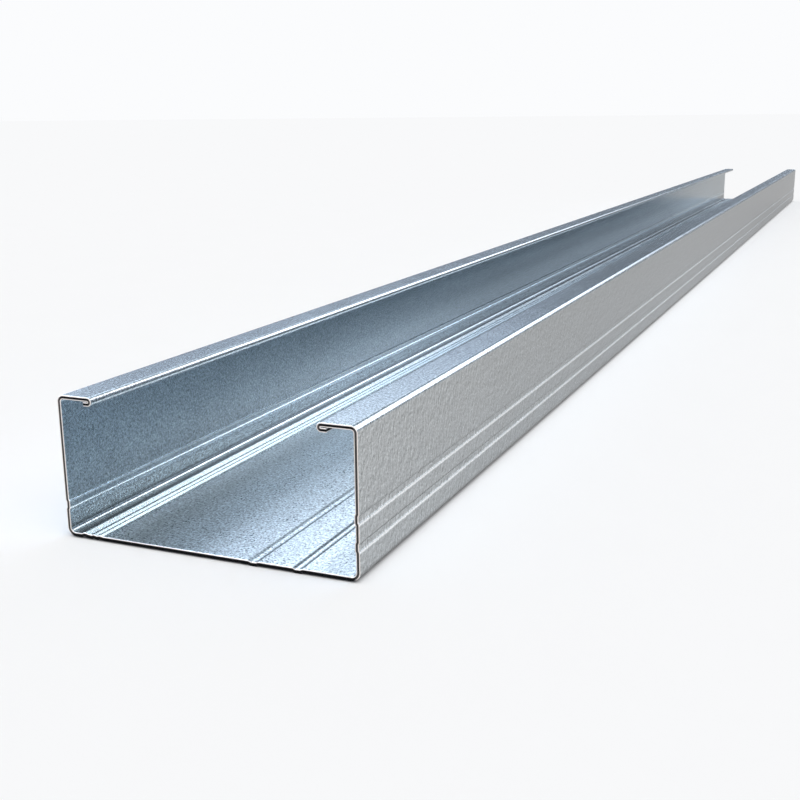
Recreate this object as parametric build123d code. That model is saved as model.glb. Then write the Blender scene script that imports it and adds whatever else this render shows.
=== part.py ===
from build123d import *
import os
from math import atan2, cos, degrees, radians, sin, sqrt

# A roll-formed channel for lining walls and ceilings, lying on its web with the lips up.
# X runs across the web, Y along the length and Z up. The origin is at mid length, on the
# centre line of the web, level with the lowest point of the web grooves.

# Driving dimensions, in millimetres
length = 900.0
web_width = 60.0            # over the outer faces of the two flanges
height = 27.0               # from the flat outer face of the web to the top of the lips
sheet = 0.8
lip_width = 7.5             # from the outer face of the flange to the crown of the hem
web_bend_radius = 0.9       # inside radius between web and flange
lip_bend_radius = 0.5       # inside radius between flange and lip
hem_return = 1.8            # from the crown of the hem to its cut edge
hem_gap = 0.1               # between the lip and the sheet folded under it

# Stiffening grooves and ribs. The grooves of the web are pressed outwards, away from the
# open side, and those of the flanges inwards. A groove has two equal walls and a flat
# floor. The ribs beside the left flange stand up inside, like saw teeth: each rises gently
# from the middle of the web to its crest and falls more steeply towards the flange.
# Widths are measured along the panel, and radii on the sheet's middle line.
web_groove_depth = 0.2
web_groove_wall = 0.7
web_groove_floor = 0.85
web_groove_radius = 0.5
right_groove_insets = (11.85, 20.5)     # from the outer face of the right flange
flange_groove_depth = 0.17
flange_groove_wall = 0.6
flange_groove_floor = 0.95
flange_groove_radius = 0.5
right_flange_grooves = (11.0, 6.1)      # heights over the flat outer face of the web
left_flange_grooves = (6.1,)
rib_radius = 0.43
small_rib_height = 0.12
small_rib_rise = 0.76       # width of the gentle side
small_rib_fall = 0.48       # width of the steep side
small_rib_insets = (5.75, 7.05)         # crests, from the outer face of the left flange
large_rib_height = 0.22
large_rib_rise = 1.34
large_rib_fall = 0.68
large_rib_inset = 3.75

INWARD = 1
OUTWARD = -1


def run(distance):
    """A flat stretch of sheet: no turn, over a distance."""
    return (0.0, distance)


def bend(middle_radius, angle):
    """A bend of the sheet's middle line, in degrees, positive towards the open side."""
    return (angle, middle_radius)


def wall(width, depth, radius, side):
    """A step from one level to another: two equal arcs with their common tangent between.

    The arcs' centres lie the width apart along the panel, and twice the radius less the
    depth across it.
    """
    straight = sqrt(width**2 + depth**2 - 4 * radius * depth)
    slope = atan2(width, 2 * radius - depth) - atan2(straight, 2 * radius)
    turn = side * degrees(slope)
    return [bend(radius, turn), run(straight), bend(radius, -turn)]


def groove(wall_width, floor, depth, radius, side):
    """Down to a flat floor and back up: its reach before and after its centre, and its steps."""
    down = wall(wall_width, depth, radius, side)
    reach = wall_width + floor / 2
    return reach, reach, [*down, run(floor), *reversed(down)]


def rib(rise, fall, height, radius):
    """Gently up to a crest and steeply down: its reach before and after it, and its steps."""
    up = wall(rise, height, radius, INWARD)
    down = reversed(wall(fall, height, radius, INWARD))
    return rise, fall, [*up, *down]


def panel(start, end, shapes):
    """The flat from start to end, with shapes as (place, reach before, reach after, steps).

    All places are read along the panel's own direction, which may fall or rise.
    """
    direction = 1 if end > start else -1
    steps = []
    here = start
    for place, before, after, shape in sorted(shapes, key=lambda s: direction * s[0]):
        steps.append(run(direction * (place - here) - before))
        steps += shape
        here = place + direction * after
    steps.append(run(direction * (end - here)))
    return steps


def sheet_edge(steps, start, heading, offset):
    """One face of the sheet as edges, at an offset to the left of its middle line."""
    angle = radians(heading)
    point = Vector(*start) + Vector(-sin(angle), cos(angle)) * offset
    edges = []
    for turn, size in steps:
        tangent = Vector(cos(angle), sin(angle))
        if turn:
            radius = size + offset if turn > 0 else size - offset
            edge = JernArc(start=point, tangent=tangent, radius=radius, arc_size=-turn)
            angle -= radians(turn)
        else:
            edge = Line(point, point + tangent * size)
        point = edge @ 1
        edges.append(edge)
    return edges


def section_steps():
    """The middle line from the cut edge of the right hem to that of the left hem."""
    half_width = web_width / 2
    web_corner = web_bend_radius + sheet
    lip_corner = lip_bend_radius + sheet
    hem_crown = hem_gap / 2 + sheet
    hem = run(hem_return - hem_crown)
    fold = bend((hem_gap + sheet) / 2, 180)
    lip = run(lip_width - lip_corner - hem_crown)
    lip_bend = bend(lip_bend_radius + sheet / 2, 90)
    web_bend = bend(web_bend_radius + sheet / 2, 90)

    flange_groove = groove(flange_groove_wall, flange_groove_floor, flange_groove_depth,
                           flange_groove_radius, INWARD)
    web_groove = groove(web_groove_wall, web_groove_floor, web_groove_depth,
                        web_groove_radius, OUTWARD)
    small_rib = rib(small_rib_rise, small_rib_fall, small_rib_height, rib_radius)
    large_rib = rib(large_rib_rise, large_rib_fall, large_rib_height, rib_radius)
    flange_top = height - lip_corner
    right_flange = panel(flange_top, web_corner, [(z, *flange_groove) for z in right_flange_grooves])
    left_flange = panel(web_corner, flange_top, [(z, *flange_groove) for z in left_flange_grooves])
    web_shapes = [(half_width - inset, *web_groove) for inset in right_groove_insets]
    web_shapes += [(inset - half_width, *small_rib) for inset in small_rib_insets]
    web_shapes.append((large_rib_inset - half_width, *large_rib))
    web = panel(half_width - web_corner, web_corner - half_width, web_shapes)
    return [
        hem, fold, lip, lip_bend, *right_flange, web_bend, *web,
        web_bend, *left_flange, lip_bend, lip, fold, hem,
    ]


def lipped_channel():
    """The whole section as one closed face, drawn out to the length."""
    hem_x = web_width / 2 - lip_width + hem_return
    hem_z = web_groove_depth + height - sheet - hem_gap - sheet / 2
    steps = section_steps()
    inner_face = sheet_edge(steps, (hem_x, hem_z), 180, -sheet / 2)
    outer_face = sheet_edge(steps, (hem_x, hem_z), 180, sheet / 2)
    first_cut = Line(outer_face[0] @ 0, inner_face[0] @ 0)
    last_cut = Line(inner_face[-1] @ 1, outer_face[-1] @ 1)
    section = make_face([*inner_face, last_cut, *outer_face, first_cut])
    return extrude(Plane.XZ * section, amount=length / 2, both=True)


os.makedirs("parts", exist_ok=True)
channel = lipped_channel()
channel.label = "lipped_channel"
export_step(channel, "parts/lipped_channel.step")
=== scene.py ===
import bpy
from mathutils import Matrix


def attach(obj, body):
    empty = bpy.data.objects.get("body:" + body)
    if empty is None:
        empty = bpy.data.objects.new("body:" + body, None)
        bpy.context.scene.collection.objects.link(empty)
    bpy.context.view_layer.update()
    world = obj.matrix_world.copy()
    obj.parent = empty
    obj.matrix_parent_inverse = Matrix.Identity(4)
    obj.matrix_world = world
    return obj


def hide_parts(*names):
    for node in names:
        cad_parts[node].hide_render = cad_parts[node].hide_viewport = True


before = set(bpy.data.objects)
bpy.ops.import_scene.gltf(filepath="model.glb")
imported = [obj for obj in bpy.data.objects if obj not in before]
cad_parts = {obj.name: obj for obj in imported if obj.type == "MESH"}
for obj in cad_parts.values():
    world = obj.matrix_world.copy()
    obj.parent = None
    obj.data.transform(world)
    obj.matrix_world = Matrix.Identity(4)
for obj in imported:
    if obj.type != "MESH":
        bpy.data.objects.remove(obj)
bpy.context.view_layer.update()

from types import SimpleNamespace

import bpy
import numpy as np
from mathutils import Matrix, Vector

# The channel's sizes in millimetres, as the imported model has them
LENGTH = 900.0
WEB_WIDTH = 60.0
HEIGHT = 27.0
SHEET = 0.8
LIP_WIDTH = 7.5
WEB_BEND_RADIUS = 0.9
LIP_BEND_RADIUS = 0.5
HEM_RETURN = 1.8
HEM_GAP = 0.1
INWARD, OUTWARD = 1, -1
# Grooves: width of a wall, floor, depth, radius, side
WEB_GROOVE = (0.7, 0.85, 0.2, 0.5, OUTWARD)
FLANGE_GROOVE = (0.6, 0.95, 0.17, 0.5, INWARD)
WEB_GROOVE_DEPTH = WEB_GROOVE[2]
RIGHT_GROOVE_INSETS = (11.85, 20.5)
RIGHT_FLANGE_GROOVES = (11.0, 6.1)
LEFT_FLANGE_GROOVES = (6.1,)
# Saw-tooth ribs beside the left flange: rise, fall, height, radius
SMALL_RIB = (0.76, 0.48, 0.12, 0.43)
LARGE_RIB = (1.34, 0.68, 0.22, 0.43)
SMALL_RIB_INSETS = (5.75, 7.05)
LARGE_RIB_INSET = 3.75

CUT_ROUNDING = 0.12             # worn edge between a face and the sawn end
HEM_ROUNDING = 0.07             # worn edge along the cut edge of a hem
MILLIMETRE = 0.001

# How finely the surface is divided
FLAT_STEP = 1.6                 # longest piece of a flat between two section stations
BEND_STEP = np.radians(6.5)     # largest turn between two section stations
FEWEST_BEND_STEPS = 5
HEM_POINTS = 5                  # stations round the worn edge of a hem
CORNER_POINTS = 6               # stations round the worn edge of a sawn end
CUT_PLACES = np.array([0.12, 0.4, 0.7])     # stations on a sawn face, as shares of half of it
LENGTH_POINTS = 61
EVEN_SHARE = 0.35               # how evenly the stations along the length are spaced


# The sheet's section

def wall(width, depth, radius, side):
    """Steps from one level to another: two equal arcs with their common tangent between.

    For a width w, a depth d and a radius r the tangent is sqrt(w^2 + d^2 - 4 r d) long, at
    a slope of atan(w / (2 r - d)) - atan(length / (2 r)).
    """
    straight = np.sqrt(width ** 2 + depth ** 2 - 4 * radius * depth)
    slope = np.arctan2(width, 2 * radius - depth) - np.arctan2(straight, 2 * radius)
    return [(side * slope, radius), (0, straight), (-side * slope, radius)]


def groove(wall_width, floor_width, depth, radius, side):
    """Reach before and after the centre, and the steps down to a flat floor and back up."""
    down = wall(wall_width, depth, radius, side)
    reach = wall_width + floor_width / 2
    return reach, reach, [*down, (0, floor_width), *reversed(down)]


def rib(rise, fall, height, radius):
    """Reach before and after the crest, and the steps gently up and steeply down."""
    up = wall(rise, height, radius, INWARD)
    down = wall(fall, height, radius, INWARD)
    return rise, fall, [*up, *reversed(down)]


def panel(start, end, shapes):
    """Steps of a flat from start to end, with shapes as (place, before, after, steps)."""
    direction = 1 if end > start else -1
    steps, here = [], start
    for place, before, after, shape in sorted(shapes, key=lambda s: direction * s[0]):
        steps += [(0, direction * (place - here) - before), *shape]
        here = place + direction * after
    return steps + [(0, direction * (end - here))]


def section_steps():
    """Steps (turn, size) of the middle line, from the right hem's cut edge to the left's.

    A turn of 0 is a flat with its length. Any other turn is a bend in radians, positive
    towards the open side, with its radius on the middle line.
    """
    half = WEB_WIDTH / 2
    web_corner, lip_corner = WEB_BEND_RADIUS + SHEET, LIP_BEND_RADIUS + SHEET
    crown = HEM_GAP / 2 + SHEET
    hem = (0, HEM_RETURN - crown)
    fold = (np.pi, (HEM_GAP + SHEET) / 2)
    lip = (0, LIP_WIDTH - lip_corner - crown)
    lip_bend = (np.pi / 2, LIP_BEND_RADIUS + SHEET / 2)
    web_bend = (np.pi / 2, WEB_BEND_RADIUS + SHEET / 2)
    top = HEIGHT - lip_corner
    bead = groove(*FLANGE_GROOVE)
    right_flange = panel(top, web_corner, [(z, *bead) for z in RIGHT_FLANGE_GROOVES])
    left_flange = panel(web_corner, top, [(z, *bead) for z in LEFT_FLANGE_GROOVES])
    shapes = [(half - x, *groove(*WEB_GROOVE)) for x in RIGHT_GROOVE_INSETS]
    shapes += [(x - half, *rib(*SMALL_RIB)) for x in SMALL_RIB_INSETS]
    shapes += [(LARGE_RIB_INSET - half, *rib(*LARGE_RIB))]
    web = panel(half - web_corner, web_corner - half, shapes)
    return [hem, fold, lip, lip_bend, *right_flange, web_bend, *web,
            web_bend, *left_flange, lip_bend, lip, fold, hem]


def middle_line():
    """Stations on the middle line: points and headings as complex x + iz, and the run to each.

    A flat adds its length times the heading h. A bend of turn a and radius r adds
    -i r sign(a) h (1 - e^(-ias)) and turns the heading to h e^(-ias), for s from 0 to 1.
    """
    point = complex(WEB_WIDTH / 2 - LIP_WIDTH + HEM_RETURN,
                    WEB_GROOVE_DEPTH + HEIGHT - SHEET - HEM_GAP - SHEET / 2)
    heading, run = -1 + 0j, 0.0
    points, headings, runs = [np.array([point])], [np.array([heading])], [np.array([run])]
    for turn, size in section_steps():
        if turn:
            count = max(FEWEST_BEND_STEPS, int(np.ceil(abs(turn) / BEND_STEP)))
            part = np.arange(1, count + 1) / count
            swing = np.exp(-1j * turn * part)
            points.append(point - 1j * size * np.sign(turn) * heading * (1 - swing))
            headings.append(heading * swing)
            runs.append(run + size * abs(turn) * part)
        else:
            count = int(np.ceil(size / FLAT_STEP))
            part = np.arange(1, count + 1) / count
            points.append(point + heading * size * part)
            headings.append(heading + 0 * part)
            runs.append(run + size * part)
        point, heading, run = points[-1][-1], headings[-1][-1], runs[-1][-1]
    return np.concatenate(points), np.concatenate(headings), np.concatenate(runs)


# The solid sheet

def length_stations(half):
    """Places along the length, closer together towards both ends.

    Even places s from -1 to 1 are mixed with sin(pi s / 2), and both are scaled to half.
    """
    even = np.linspace(-1, 1, LENGTH_POINTS)
    return half * (EVEN_SHARE * even + (1 - EVEN_SHARE) * np.sin(even * np.pi / 2))


def ring(inset):
    """One turn round the sheet's rounded rectangle: places and normals, across and along.

    The half with the outer face goes from the near cut to the far cut: cut, corner arc,
    outer face, corner arc, cut. The other half is its mirror image, walked back.
    inset shrinks the rectangle and its corner arcs alike.
    """
    half_sheet, half_length = SHEET / 2 - CUT_ROUNDING, LENGTH / 2 - CUT_ROUNDING
    radius = CUT_ROUNDING - inset
    arc = np.linspace(0, np.pi / 2, CORNER_POINTS)
    cut = half_sheet * CUT_PLACES
    cut_zeros = np.zeros(cut.size)
    face = length_stations(half_length)[1:-1]
    outwards = np.concatenate([np.sin(arc), np.ones(face.size), np.cos(arc)])
    lengthwise = np.concatenate([-np.cos(arc), np.zeros(face.size), np.sin(arc)])
    centres = np.concatenate([np.full(arc.size, -half_length), face,
                              np.full(arc.size, half_length)])
    end = cut_zeros + half_length + radius
    across = np.concatenate([cut, half_sheet + radius * outwards, cut[::-1]])
    along = np.concatenate([-end, centres + radius * lengthwise, end])
    normal_across = np.concatenate([cut_zeros, outwards, cut_zeros])
    normal_along = np.concatenate([cut_zeros - 1, lengthwise, cut_zeros + 1])
    return (np.concatenate([across, -across[::-1]]), np.concatenate([along, along[::-1]]),
            np.concatenate([normal_across, -normal_across[::-1]]),
            np.concatenate([normal_along, normal_along[::-1]]))


def channel_grid():
    """The sheet over section stations and ring, as arrays.

    They are the points, their normals, the run across the sheet, the walk round the ring,
    the place through the sheet (1 on the outer face, -1 on the inner one) and how far a
    point faces along the length. A point is the middle line plus the ring's place across
    times the left normal i h, at the ring's place along. The last stations at both hems
    make a quarter circle: over its angle a they stand r (1 - sin a) back from the hem's cut
    edge, for the rounding r, while the ring is r (1 - cos a) smaller.
    """
    points, headings, runs = middle_line()
    quarter = np.linspace(0, np.pi / 2, HEM_POINTS)
    reach = HEM_ROUNDING * (np.sin(quarter) - 1)
    shrink = HEM_ROUNDING * (1 - np.cos(quarter))
    inner_zeros = np.zeros(points.size - 2)
    inset = np.concatenate([shrink[::-1], inner_zeros, shrink])
    outward = np.concatenate([-np.sin(quarter[::-1]), inner_zeros, np.sin(quarter)])
    points = np.concatenate([points[0] - headings[0] * reach[::-1], points[1:-1],
                             points[-1] + headings[-1] * reach])
    headings = np.concatenate([np.full(HEM_POINTS, headings[0]), headings[1:-1],
                               np.full(HEM_POINTS, headings[-1])])
    runs = np.concatenate([runs[0] - reach[::-1], runs[1:-1], runs[-1] + reach])

    rings = np.array([ring(step) for step in inset])
    across, along, normal_across, normal_along = (rings[:, k] for k in range(4))
    left = 1j * headings[:, None]
    place = points[:, None] + across * left
    inward = np.sqrt(1 - outward ** 2)[:, None]
    normal = normal_across * inward * left + outward[:, None] * headings[:, None]
    positions = np.stack([place.real, along, place.imag], axis=-1) * MILLIMETRE
    normals = np.stack([normal.real, normal_along * inward, normal.imag], axis=-1)
    step = np.hypot(np.diff(across, axis=1), np.diff(along, axis=1))
    walked = np.concatenate([np.zeros((inset.size, 1)), np.cumsum(step, axis=1)], axis=1)
    return positions, normals, runs, walked, across / (SHEET / 2), normal_along


def ring_faces(rows, columns):
    """Quads between neighbouring section rows, closed round the ring, facing outwards."""
    row, column = np.meshgrid(np.arange(rows - 1), np.arange(columns), indexing="ij")
    beside = (column + 1) % columns
    return np.stack([row * columns + column, (row + 1) * columns + column,
                     (row + 1) * columns + beside, row * columns + beside],
                    axis=-1).reshape(-1, 4)


def hem_cap(first, columns, flip):
    """Faces closing one hem's cut edge.

    Each pair of ring points that mirror each other makes a rung, and neighbouring rungs a
    quad. Both ends close with one many-sided face.
    """
    cut = CUT_PLACES.size + CORNER_POINTS
    half = columns // 2
    rung = np.arange(cut - 1, half - cut)
    quads = np.stack([rung, rung + 1, columns - 2 - rung, columns - 1 - rung], axis=-1) + first
    near = np.concatenate([np.arange(columns - cut, columns), np.arange(0, cut)]) + first
    far = np.arange(half - cut, half + cut) + first
    faces = [*quads.tolist(), near.tolist(), far.tolist()]
    return [face[::-1] for face in faces] if flip else faces


def add_developed_uv(mesh, positions, runs, walked):
    """UV in metres of the flattened sheet: the run across it and the walk round its ring.

    The ring comes back to its start one first step after its last point. The hems' caps
    take height and length instead.
    """
    rows, columns = positions.shape[:2]
    first_step = walked[:, 1:2] - walked[:, :1]
    walk = np.concatenate([walked, walked[:, -1:] + first_step], axis=1)
    row, column = np.meshgrid(np.arange(rows - 1), np.arange(columns), indexing="ij")
    corners = [(row, column), (row + 1, column), (row + 1, column + 1), (row, column + 1)]
    ring_uv = np.stack([np.stack([runs[r], walk[r, c]], axis=-1) for r, c in corners], axis=2)
    loops = np.zeros(len(mesh.loops), dtype=np.int32)
    mesh.loops.foreach_get("vertex_index", loops)
    length_and_height = (positions.reshape(-1, 3) / MILLIMETRE)[loops][:, 1:]
    uv = length_and_height[:, ::-1].copy()
    uv[:ring_uv.size // 2] = ring_uv.reshape(-1, 2)
    layer = mesh.uv_layers.new(name="developed_sheet")
    layer.data.foreach_set("uv", (uv * MILLIMETRE).astype(np.float32).ravel())


def add_attributes(mesh, positions, through, facing):
    """Numbers for the finish, from 0 to 1 but for the first.

    through_sheet is 1 on the outer face and -1 on the inner one. sawn is how far a point
    faces out of a cut: the length of its normal's parts along the channel and out of a
    hem. upright is the rise of the section's line, its dz over its length.
    """
    hem_facing = np.zeros(len(positions))
    hem_facing[:HEM_POINTS] = np.sin(np.linspace(np.pi / 2, 0, HEM_POINTS))
    hem_facing[-HEM_POINTS:] = hem_facing[:HEM_POINTS][::-1]
    sawn = np.hypot(facing, hem_facing[:, None] + 0 * facing).clip(0, 1)
    outer_line = positions[:, positions.shape[1] // 4]
    dx, dz = np.gradient(outer_line[:, 0]), np.gradient(outer_line[:, 2])
    rise = np.abs(dz) / np.hypot(dx, dz)
    upright = rise[:, None] + 0 * facing
    for name, values in (("through_sheet", through), ("sawn", sawn), ("upright", upright)):
        attribute = mesh.attributes.new(name, "FLOAT", "POINT")
        attribute.data.foreach_set("value", values.astype(np.float32).ravel())


def channel_mesh():
    """The whole sheet as one closed mesh: ring quads, two hem caps, normals, UV, attributes."""
    positions, normals, runs, walked, through, facing = channel_grid()
    rows, columns = positions.shape[:2]
    last = (rows - 1) * columns
    faces = ring_faces(rows, columns).tolist()
    faces += hem_cap(0, columns, False) + hem_cap(last, columns, True)
    mesh = bpy.data.meshes.new("lipped_channel_zinc")
    mesh.from_pydata(positions.reshape(-1, 3), [], faces)
    add_developed_uv(mesh, positions, runs, walked)
    add_attributes(mesh, positions, through, facing)
    mesh.polygons.foreach_set("use_smooth", np.ones(len(mesh.polygons), dtype=bool))
    mesh.update()
    mesh.validate()
    mesh.normals_split_custom_set_from_vertices(normals.reshape(-1, 3).tolist())
    return mesh


# Shader maths

MIX_COLOURS = (6, 7)            # a Mix node's two colour sockets
MIX_COLOUR_OUTPUT = 2


class Value:
    """A socket in a node tree. The operators are for numbers and add Math nodes."""

    def __init__(self, nodes, socket):
        self.nodes = nodes
        self.socket = socket

    def math(self, operation, *others):
        """This value and the others through one Math node."""
        inputs = dict(enumerate([self, *others]))
        return self.nodes.add("ShaderNodeMath", {"operation": operation}, inputs)

    def __add__(self, other):
        return self.math("ADD", other)

    def __sub__(self, other):
        return self.math("SUBTRACT", other)

    def __rsub__(self, other):
        return self * -1.0 + other

    def __mul__(self, other):
        return self.math("MULTIPLY", other)

    def __abs__(self):
        return self.math("ABSOLUTE")

    __radd__ = __add__
    __rmul__ = __mul__

    def ramp(self, start, full):
        """Smooth step from 0 at start to 1 at full, which may be the lower of the two."""
        return self.nodes.add("ShaderNodeMapRange", {"interpolation_type": "SMOOTHSTEP"},
                              {"Value": self, "From Min": start, "From Max": full})

    def between(self, low, high, blur):
        """1 between low and high and 0 outside, with smooth steps of the blur each way."""
        return self.ramp(low - blur, low + blur) * self.ramp(high + blur, high - blur)


class Nodes:
    """A node tree that is filled by one method."""

    def __init__(self, tree):
        self.tree = tree
        tree.nodes.clear()

    def add(self, kind, settings=None, inputs=None, output=0):
        """Adds a node: its settings first, then the values or links of its sockets."""
        node = self.tree.nodes.new(kind)
        for name, value in (settings or {}).items():
            if name == "stops":
                ramp = node.color_ramp
                while len(ramp.elements) < len(value):
                    ramp.elements.new(1.0)
                for element, (place, colour) in zip(ramp.elements, value):
                    element.position, element.color = place, (*colour, 1.0)
            else:
                setattr(node, name, value)
        for name, value in (inputs or {}).items():
            socket = node.inputs[name]
            if isinstance(value, Value):
                self.tree.links.new(value.socket, socket)
            else:
                socket.default_value = value
        return Value(self, node.outputs[output]) if node.outputs else node

    def outputs(self, kind, names, inputs=None):
        """Several outputs of one node, by their names."""
        node = self.add(kind, {}, inputs).socket.node
        return [Value(self, node.outputs[name]) for name in names]

    def colour_mix(self, factor, first, second, blend="MIX"):
        """Mix node on colours, which are links or (r, g, b)."""
        sockets = {0: factor}
        for place, colour in zip(MIX_COLOURS, (first, second)):
            sockets[place] = colour if isinstance(colour, Value) else (*colour, 1.0)
        settings = {"data_type": "RGBA", "blend_type": blend, "clamp_factor": True}
        return self.add("ShaderNodeMix", settings, sockets, output=MIX_COLOUR_OUTPUT)

    def toned(self, colour, tone):
        """A colour times a number."""
        grey = self.add("ShaderNodeCombineColor", {}, {0: tone, 1: tone, 2: tone})
        return self.colour_mix(1.0, colour, grey, "MULTIPLY")

    def scaled(self, vector, scale):
        """Vector times (x, y, z)."""
        return self.add("ShaderNodeVectorMath", {"operation": "MULTIPLY"}, {0: vector, 1: scale})

    def shifted(self, vector, offset):
        """Vector plus (x, y, z)."""
        return self.add("ShaderNodeVectorMath", {"operation": "ADD"}, {0: vector, 1: offset})

    def noise(self, vector, scale, detail=2.0, roughness=0.5, distortion=0.0):
        """Noise of 0 to 1 around 0.5."""
        return self.add("ShaderNodeTexNoise", {}, {
            "Vector": vector, "Scale": scale, "Detail": detail,
            "Roughness": roughness, "Distortion": distortion})

    def attribute(self, name):
        """A number that the mesh keeps under a name."""
        return self.add("ShaderNodeAttribute", {"attribute_name": name}, output="Fac")


# The finish

# Zinc of the inner faces with a painted bluish reflection in it; the outer faces keep the
# neutral zinc
ZINC_INSIDE_WITH_PAINTED_BLUE = (0.478, 0.53, 0.558)
ZINC_OUTSIDE = (0.495, 0.51, 0.515)
ZINC_GRAZING = (0.58, 0.58, 0.58, 1.0)      # dull zinc mirrors less along its surface
BURR_WITH_PAINTED_HIGHLIGHT = (0.80, 0.73, 0.69)       # bright rim of the sawn face: partly a worn edge, partly a painted highlight
BURR_AND_HIGHLIGHT_DULLNESS = 0.8             # share of the bright rim that isn't metallic
# The sawn steel core as painted shade: near black where the cut lies flat and brownish grey
# where it stands upright
SAWN_CORE_FLAT_PAINTED_SHADE = (0.008, 0.008, 0.009)
SAWN_CORE_UPRIGHT_PAINTED_SHADE = (0.055, 0.050, 0.047)

ZINC_ROUGHNESS = 0.21
GRAIN_ROUGHNESS = 0.08
PATCH_ROUGHNESS = 0.06
FLAT_WEB_ROUGHNESS = 0.08
SAWN_ROUGHNESS = 0.25

# Patterns of the zinc as noise: cells to a millimetre, detail, roughness, distortion
GRAIN = (2.2, 2.0, 0.55)
FINE_GRAIN = (5.5, 2.0, 0.6)
PEEL = (1.15, 2.0, 0.55, 0.6)
PATCHES = (0.13, 2.0, 0.5)
DRIFT = (1.0, 2.0, 0.5)
STREAKS = (1.0, 2.0, 0.6)
SPECKS = (1.3, 1.0)
WAVE = (0.035, 1.0, 0.4)
# How patterns are squeezed along x, y and z, and where the peel's shaded side is looked for
PEEL_SHAPE = (1.0, 1.0, 0.62)
PEEL_SHADED_SIDE = (0.0, 0.26, -0.22)
DRIFT_SHAPE = (0.5, 0.02, 0.5)
STREAK_SHAPE = (1.3, 0.11, 1.3)
WAVE_SHAPE = (1.0, 0.5, 1.0)
# How much each pattern lightens and darkens the zinc
GRAIN_SHADE = 1.9
FINE_SHADE = 1.6
# The peel's share below is painted light and shade on the sides of its bumps
PEEL_PAINTED_SHADE = 1.3
PATCH_SHADE = 0.12
DRIFT_SHADE = 0.06
STREAK_SHADE = 0.16
SPECK_SHADE = 0.25
SPECK_LEVELS = (0.70, 0.80)     # noise above which there is a bright speck
# Share of the grain that is lost outside and on the ribbed strip, or added on the flat web
GRAIN_LOSS_OUTSIDE = 0.45
GRAIN_LOSS_ON_STRIP = 0.75
GRAIN_GAIN_ON_WEB = 0.5
# Height of the relief in millimetres for a full swing of each pattern
GRAIN_RELIEF = 0.00168
FINE_RELIEF = 0.0007
PEEL_RELIEF = 0.00336
WAVE_RELIEF = 0.05

# Where each face's mask starts and where it is full. Places through the sheet run from -1
# inside to 1 outside, and the slope of the section and the cut from 0 to 1.
OUTSIDE_THROUGH = (-0.4, 0.4)
OUTER_THROUGH = (0.0, 0.5)
OUTER_BURR_AND_HIGHLIGHT_THROUGH = (0.4, 0.66)
INNER_BURR_AND_HIGHLIGHT_THROUGH = (-0.4, -0.66)
UPRIGHT_SLOPE = (0.3, 0.8)
SAWN_FACING = (0.55, 0.8)
# The same in millimetres: heights over the lowest point, and places across
WEB_INSIDE_HEIGHT = (2.4, 1.6)
WEB_CUT_HEIGHT = (3.0, 2.0)
LEFT_INSIDE = (-28.4, -28.9)
RIGHT_OUTSIDE = (29.2, 29.5)
FLAT_WEB = (-22.5, -20.5)

# Painted highlights and painted shade along the grooves, ribs and bends: the bright bands stand
# for reflections and the dark ones for shade. A band has its place, half width and tone; places
# are x for the web and heights for the flanges, in millimetres.
WEB_PAINTED_LIGHT_BANDS = [
    (18.7, 0.6, 0.45), (18.05, 0.25, 1.5), (17.5, 0.5, 0.42),
    (10.3, 0.6, 0.55), (9.35, 0.35, 1.5), (8.65, 0.5, 0.55),
    (-27.5, 1.0, 0.5), (-25.7, 0.9, 1.3), (-15.5, 7.0, 0.72), (25.0, 5.5, 0.76),
]
LEFT_FLANGE_PAINTED_LIGHT_BANDS = [(5.7, 0.3, 2.6), (6.95, 0.3, 2.1), (1.2, 0.5, 1.5)]
RIGHT_FLANGE_PAINTED_LIGHT_BANDS = [(10.4, 0.45, 2.6), (5.5, 0.45, 2.4), (12.1, 0.3, 0.85), (7.1, 0.3, 0.85)]
# The ribbed strip beside the left flange is brighter as a painted highlight: from, to and
# softness in x, and tone
STRIP = (-26.5, -22.0, 0.3)
STRIP_PAINTED_HIGHLIGHT = 1.6
# Painted shade: darker lip tops, a darker far end of the right flange's outer face, darker
# places low on the left flange's inner face, and a darker lower bend and underside. For each,
# where it starts and where it is full, in height or along the length, and the share of the tone
# that it loses there
LIP_TOP, LIP_TOP_PAINTED_SHADE = (26.4, 27.0), 0.15
RIGHT_FAR_LENGTH, RIGHT_FAR_PAINTED_SHADE = (-200.0, 350.0), 0.46
LEFT_FAR_START, LEFT_FAR_END = (-340.0, -180.0), (330.0, 150.0)
LEFT_FAR_HEIGHT, LEFT_FAR_PAINTED_SHADE = (20.0, 15.0), 0.32
LEFT_FOOT, LEFT_FOOT_PAINTED_SHADE = (5.0, 4.4), 0.47
LOWER_BEND, LOWER_BEND_PAINTED_SHADE = (2.2, 0.4), 0.45
UNDERSIDE, UNDERSIDE_PAINTED_SHADE = (0.9, 0.3), 0.6


def sheet_faces(n, place):
    """Masks of the sheet's faces, from the place in millimetres and the mesh's attributes."""
    across, along, height = n.outputs("ShaderNodeSeparateXYZ", "XYZ", {"Vector": place})
    through, sawn, upright = (n.attribute(name) for name in ("through_sheet", "sawn", "upright"))
    standing = upright.ramp(*UPRIGHT_SLOPE)
    outer = through.ramp(*OUTER_THROUGH)
    inner_web = (1.0 - outer) * height.ramp(*WEB_INSIDE_HEIGHT)
    return SimpleNamespace(
        across=across, along=along, height=height, through=through, standing=standing,
        outer=outer, outside=through.ramp(*OUTSIDE_THROUGH) * standing,
        inner_web=inner_web, strip=across.between(*STRIP) * inner_web,
        flat_web=inner_web * across.ramp(*FLAT_WEB),
        inner_left=(1.0 - outer) * across.ramp(*LEFT_INSIDE),
        outer_right=outer * across.ramp(*RIGHT_OUTSIDE),
        sawn=sawn.ramp(*SAWN_FACING))


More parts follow.
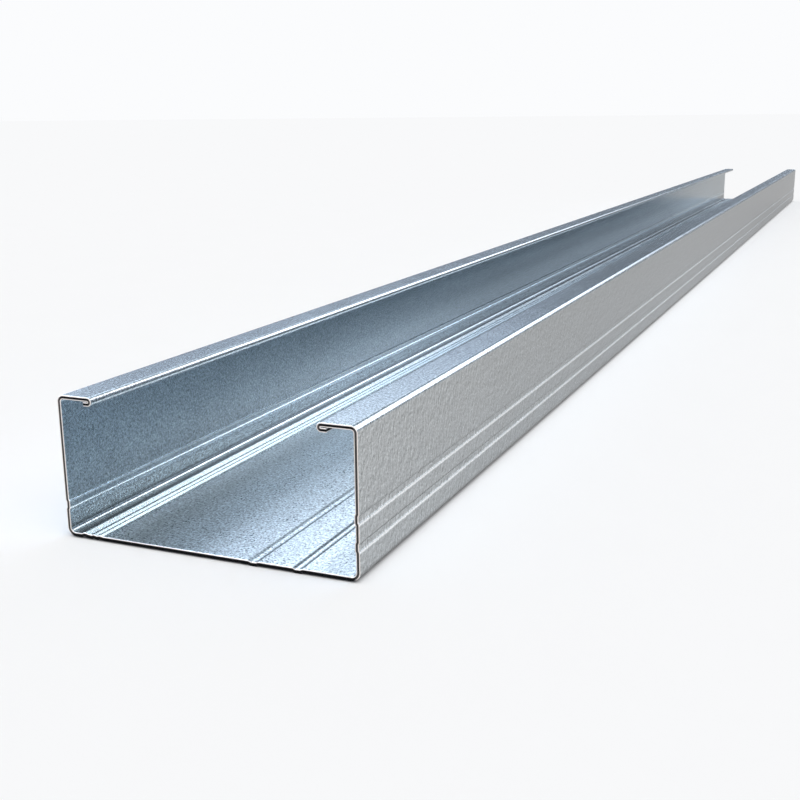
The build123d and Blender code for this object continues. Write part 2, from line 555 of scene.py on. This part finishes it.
def zinc_patterns(n, place):
    """The coat's noise patterns. One of them is painted light and shade on the peel's bumps: the
    peel less itself a little way off, so it is light on one side of each bump and dark on the
    other."""
    stretched = n.scaled(place, PEEL_SHAPE)
    peel = n.noise(stretched, *PEEL)
    return SimpleNamespace(
        grain=n.noise(place, *GRAIN), fine=n.noise(place, *FINE_GRAIN), peel=peel,
        emboss=peel - n.noise(n.shifted(stretched, PEEL_SHADED_SIDE), *PEEL),
        patches=n.noise(place, *PATCHES),
        drift=n.noise(n.scaled(place, DRIFT_SHAPE), *DRIFT),
        streaks=n.noise(n.scaled(place, STREAK_SHAPE), *STREAKS),
        specks=n.noise(place, *SPECKS).ramp(*SPECK_LEVELS),
        wave=n.noise(n.scaled(place, WAVE_SHAPE), *WAVE))


def zinc_grain_and_painted_light(faces, zinc):
    """How light the zinc is, around 1: its grain patterns, and painted highlights and painted
    shade in bands and places.
    """
    mottle = (zinc.grain - 0.5) * GRAIN_SHADE + (zinc.fine - 0.5) * FINE_SHADE
    mottle = mottle * (1.0 - faces.outside * GRAIN_LOSS_OUTSIDE)
    mottle = mottle * (1.0 - faces.strip * GRAIN_LOSS_ON_STRIP)
    mottle = mottle * (1.0 + faces.flat_web * GRAIN_GAIN_ON_WEB)
    tone = 1.0 + mottle + (zinc.patches - 0.5) * PATCH_SHADE
    tone = tone + (zinc.drift - 0.5) * DRIFT_SHADE + (zinc.streaks - 0.5) * STREAK_SHADE
    # Painted light and shade on the sides of the peel's bumps, outside only
    tone = tone + zinc.emboss * faces.outside * PEEL_PAINTED_SHADE
    tone = tone + zinc.specks * (1.0 - faces.outside) * SPECK_SHADE

    across, along, height = faces.across, faces.along, faces.height
    # Painted highlights and painted shade in bands along the grooves, ribs and bends
    for position, face, bands in ((across, faces.inner_web, WEB_PAINTED_LIGHT_BANDS),
                                  (height, faces.inner_left, LEFT_FLANGE_PAINTED_LIGHT_BANDS),
                                  (height, faces.outer_right, RIGHT_FLANGE_PAINTED_LIGHT_BANDS)):
        for middle, half_width, shade in bands:
            band = abs(position - middle).ramp(half_width, 0.0) * face
            tone = tone * (1.0 + band * (shade - 1.0))
    # Painted highlight on the ribbed strip
    tone = tone * (1.0 + faces.strip * (STRIP_PAINTED_HIGHLIGHT - 1.0))

    # Painted shade at the lip tops, the far right flange, low on the left flange, the lower bend
    # and the underside
    left_far = faces.inner_left * along.ramp(*LEFT_FAR_START) * along.ramp(*LEFT_FAR_END)
    for painted_shade, loss in ((faces.outer * height.ramp(*LIP_TOP), LIP_TOP_PAINTED_SHADE),
                         (faces.outer_right * along.ramp(*RIGHT_FAR_LENGTH), RIGHT_FAR_PAINTED_SHADE),
                         (left_far * height.ramp(*LEFT_FAR_HEIGHT), LEFT_FAR_PAINTED_SHADE),
                         (faces.inner_left * height.ramp(*LEFT_FOOT), LEFT_FOOT_PAINTED_SHADE),
                         (faces.outer * height.ramp(*LOWER_BEND), LOWER_BEND_PAINTED_SHADE),
                         (faces.outer * height.ramp(*UNDERSIDE), UNDERSIDE_PAINTED_SHADE)):
        tone = tone * (1.0 - painted_shade * loss)
    return tone


def burr_and_highlight_mask(faces):
    """Bright rims of a cut along both faces of the sheet, partly worn edges and partly painted
    highlight. At the web only the inner one is kept, and the outer one is left out as painted
    shade.
    """
    # The outer rim at the web is left out as painted shade
    web_cut = (1.0 - faces.standing) * faces.height.ramp(*WEB_CUT_HEIGHT)
    outer_burr_and_highlight = faces.through.ramp(*OUTER_BURR_AND_HIGHLIGHT_THROUGH) * (1.0 - web_cut)
    return outer_burr_and_highlight + faces.through.ramp(*INNER_BURR_AND_HIGHLIGHT_THROUGH)


def galvanised_steel():
    """Zinc coat with a fine mottled grain and painted highlights and shade, and sawn faces with
    a core of painted shade between bright rims that are partly worn edges and partly painted
    highlight.
    """
    material = bpy.data.materials.new("galvanised_steel_coat")
    material.use_nodes = True
    n = Nodes(material.node_tree)
    place = n.add("ShaderNodeTexCoord", output="Object")
    place = n.scaled(place, (1 / MILLIMETRE,) * 3)
    faces = sheet_faces(n, place)
    zinc = zinc_patterns(n, place)

    # The inner faces get the painted bluish reflection
    coat = n.colour_mix(faces.outside, ZINC_INSIDE_WITH_PAINTED_BLUE, ZINC_OUTSIDE)
    coat = n.toned(coat, zinc_grain_and_painted_light(faces, zinc))
    burr_and_highlight = burr_and_highlight_mask(faces)
    # Core of the sawn faces in painted shade, darker where the cut lies flat
    core = n.colour_mix(faces.standing, SAWN_CORE_FLAT_PAINTED_SHADE, SAWN_CORE_UPRIGHT_PAINTED_SHADE)
    # Sawn faces: bright rims, partly worn edges and partly painted highlight, round the painted
    # shade of the core
    base = n.colour_mix(faces.sawn, coat, n.colour_mix(burr_and_highlight, core, BURR_WITH_PAINTED_HIGHLIGHT))

    roughness = ZINC_ROUGHNESS + (zinc.grain - 0.5) * GRAIN_ROUGHNESS
    roughness = roughness + (zinc.patches - 0.5) * PATCH_ROUGHNESS
    roughness = roughness + faces.flat_web * FLAT_WEB_ROUGHNESS + faces.sawn * SAWN_ROUGHNESS
    metallic = 1.0 - faces.sawn * burr_and_highlight * BURR_AND_HIGHLIGHT_DULLNESS
    relief = zinc.grain * GRAIN_RELIEF + zinc.fine * FINE_RELIEF
    relief = relief + zinc.peel * faces.outside * PEEL_RELIEF + zinc.wave * WAVE_RELIEF
    normal = n.add("ShaderNodeBump", {}, {"Strength": 1.0, "Distance": MILLIMETRE,
                                          "Height": relief})
    shader = n.add("ShaderNodeBsdfPrincipled", {}, {
        "Base Color": base, "Metallic": metallic, "Roughness": roughness, "Normal": normal,
        "Specular Tint": ZINC_GRAZING})
    n.add("ShaderNodeOutputMaterial", {}, {"Surface": shader})
    return material


def channel():
    """The channel of zinc-coated sheet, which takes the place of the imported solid."""
    piece = bpy.data.objects.new("channel_sheet", channel_mesh())
    bpy.context.scene.collection.objects.link(piece)
    piece.data.materials.append(galvanised_steel())
    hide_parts("lipped_channel")
    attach(piece, "root")


# Floor, light and camera

FLOOR_PALE = (0.90, 0.905, 0.915)
FLOOR_HALF_SIDE = 60.0          # metres
FLOOR_LEVEL = -0.00002          # just under the channel
FLOOR_NOISE = (40.0, 2.0)
FLOOR_SHADE = 0.01
BACKDROP = (0.965, 0.972, 0.985)
EVEN_LIGHT = (0.60, 0.60, 0.60)

# The room that the zinc mirrors: elevation in degrees and colour
ROOM = [
    (0, (1.18, 1.28, 1.44)),
    (6, (0.01, 0.02, 0.04)),
    (10, (0.26, 0.28, 0.31)),
    (14, (1.60, 1.92, 2.45)),
    (17.5, (2.90, 3.15, 3.50)),
    (20, (2.50, 2.75, 3.05)),
    (24, (1.65, 1.80, 1.95)),
    (30, (1.16, 1.26, 1.32)),
    (45, (1.11, 1.29, 1.44)),
    (90, (2.09, 2.21, 2.32)),
]
OVERHEAD = 90.0
ROOM_SCALE = 4.0                # the ramp keeps the room's colours divided by this, under 1
# Soft boxes and dark screens: azimuth from, to, elevation from, to, softness of both, colour
SOFT_BOXES = [
    (-99.7, -42.7, 3.5, 69.3, 4.5, 3.6, (6.0, 6.8, 8.0)),
    (-38.3, -25.4, 27.0, 43.7, 3.2, 3.4, (4.9, 5.5, 6.5)),
    (-49.4, -30.0, 15.7, 28.5, 3.7, 2.5, (0.59, 0.60, 0.58)),
    (-15.1, 0.0, 11.0, 42.2, 3.5, 3.4, (0.51, 0.60, 0.70)),
    (-0.3, 28.5, 13.8, 31.3, 3.5, 2.8, (5.7, 6.1, 6.8)),
    (29.4, 61.7, 12.6, 34.0, 4.6, 2.7, (0.36, 0.40, 0.44)),
    (5.0, 35.8, 0.3, 8.1, 3.5, 2.7, (0.69, 0.75, 0.77)),
    (17.6, 34.4, 29.0, 34.3, 3.6, 3.6, (9.6, 9.5, 9.4)),
]

LAMP_STRENGTH = 1.65
LAMP_SPREAD = np.radians(60)
LAMP_PLACE = (1.0, 0.0, 3.0)
LAMP_TOWARDS = (0.55, -0.30, 1.0)           # direction from the channel to the lamp

CAMERA_PLACE = (0.10488, -0.60807, 0.0754)
CAMERA_FORWARD = (-0.38063, 0.89205, -0.24367)
CAMERA_DOWN = (0.08685, -0.22786, -0.96981)
CAMERA_SENSOR = 36.0
CAMERA_LENS = 50.85
CAMERA_SEES = (0.005, 500.0)


def floor():
    """A wide pale floor just under the channel."""
    side = FLOOR_HALF_SIDE
    mesh = bpy.data.meshes.new("pale_floor")
    mesh.from_pydata([(-side, -side, FLOOR_LEVEL), (side, -side, FLOOR_LEVEL),
                      (side, side, FLOOR_LEVEL), (-side, side, FLOOR_LEVEL)], [], [(0, 1, 2, 3)])
    obj = bpy.data.objects.new("pale_floor", mesh)
    bpy.context.scene.collection.objects.link(obj)
    material = bpy.data.materials.new("pale_floor_paint")
    material.use_nodes = True
    n = Nodes(material.node_tree)
    place = n.add("ShaderNodeTexCoord", output="Object")
    paint = n.toned(FLOOR_PALE, 1.0 + (n.noise(place, *FLOOR_NOISE) - 0.5) * FLOOR_SHADE)
    shader = n.add("ShaderNodeBsdfDiffuse", {}, {"Color": paint})
    n.add("ShaderNodeOutputMaterial", {}, {"Surface": shader})
    obj.data.materials.append(material)


def mirrored_room(n):
    """Colour of the room by direction: graded by elevation, with boxes and screens on top.

    A box covers its place by smooth steps at its four sides: in azimuth, atan(x / |y|),
    and in elevation, asin(z). The boxes lie over each other in their order.
    """
    direction = n.add("ShaderNodeTexCoord", output="Generated")
    x, y, z = n.outputs("ShaderNodeSeparateXYZ", "XYZ", {"Vector": direction})
    azimuth = x.math("ARCTAN2", abs(y)) * np.degrees(1.0)
    elevation = z.math("ARCSINE") * np.degrees(1.0)
    stops = [(place / OVERHEAD, tuple(level / ROOM_SCALE for level in colour))
             for place, colour in ROOM]
    room = n.add("ShaderNodeValToRGB", {"stops": stops}, {"Fac": elevation * (1 / OVERHEAD)})
    room = n.scaled(room, (ROOM_SCALE,) * 3)
    for left, right, low, high, side_blur, top_blur, colour in SOFT_BOXES:
        cover = azimuth.between(left, right, side_blur) * elevation.between(low, high, top_blur)
        room = n.colour_mix(cover, room, colour)
    return room


def studio_world():
    """Pale all round for the camera, the same shaded as a room in reflections, and even
    light for matt surfaces."""
    world = bpy.data.worlds.new("studio")
    bpy.context.scene.world = world
    world.use_nodes = True
    world.cycles.sampling_method = "NONE"
    n = Nodes(world.node_tree)
    camera, glossy, through = n.outputs("ShaderNodeLightPath", (
        "Is Camera Ray", "Is Glossy Ray", "Is Transmission Ray"))
    pale = n.colour_mix(camera + glossy + through, EVEN_LIGHT, BACKDROP)
    shade = n.colour_mix(glossy, (1.0, 1.0, 1.0), mirrored_room(n))
    seen = n.colour_mix(1.0, pale, shade, "MULTIPLY")
    shader = n.add("ShaderNodeBackground", {}, {"Color": seen, "Strength": 1.0})
    n.add("ShaderNodeOutputWorld", {}, {"Surface": shader})


def soft_lamp():
    """One broad soft lamp high on the right, so that the shadow falls behind the channel."""
    lamp = bpy.data.lights.new("soft_lamp", "SUN")
    lamp.energy, lamp.angle = LAMP_STRENGTH, LAMP_SPREAD
    obj = bpy.data.objects.new("soft_lamp", lamp)
    turn = Vector(LAMP_TOWARDS).to_track_quat("Z", "Y")
    obj.matrix_world = Matrix.LocRotScale(LAMP_PLACE, turn, None)
    bpy.context.scene.collection.objects.link(obj)


def photo_camera():
    """The camera where the photograph was taken from, as fitted to its lines."""
    forward = Vector(CAMERA_FORWARD).normalized()
    down = Vector(CAMERA_DOWN)
    down = (down - forward * down.dot(forward)).normalized()
    right = down.cross(forward)
    data = bpy.data.cameras.new("photo_camera")
    data.sensor_width, data.lens = CAMERA_SENSOR, CAMERA_LENS
    data.clip_start, data.clip_end = CAMERA_SEES
    obj = bpy.data.objects.new("photo_camera", data)
    turn = Matrix((right, -down, -forward)).transposed().to_4x4()
    obj.matrix_world = Matrix.Translation(CAMERA_PLACE) @ turn
    bpy.context.scene.collection.objects.link(obj)
    bpy.context.scene.camera = obj


photo_camera()
channel()
floor()
studio_world()
soft_lamp()
bpy.context.scene.view_settings.view_transform = "Standard"
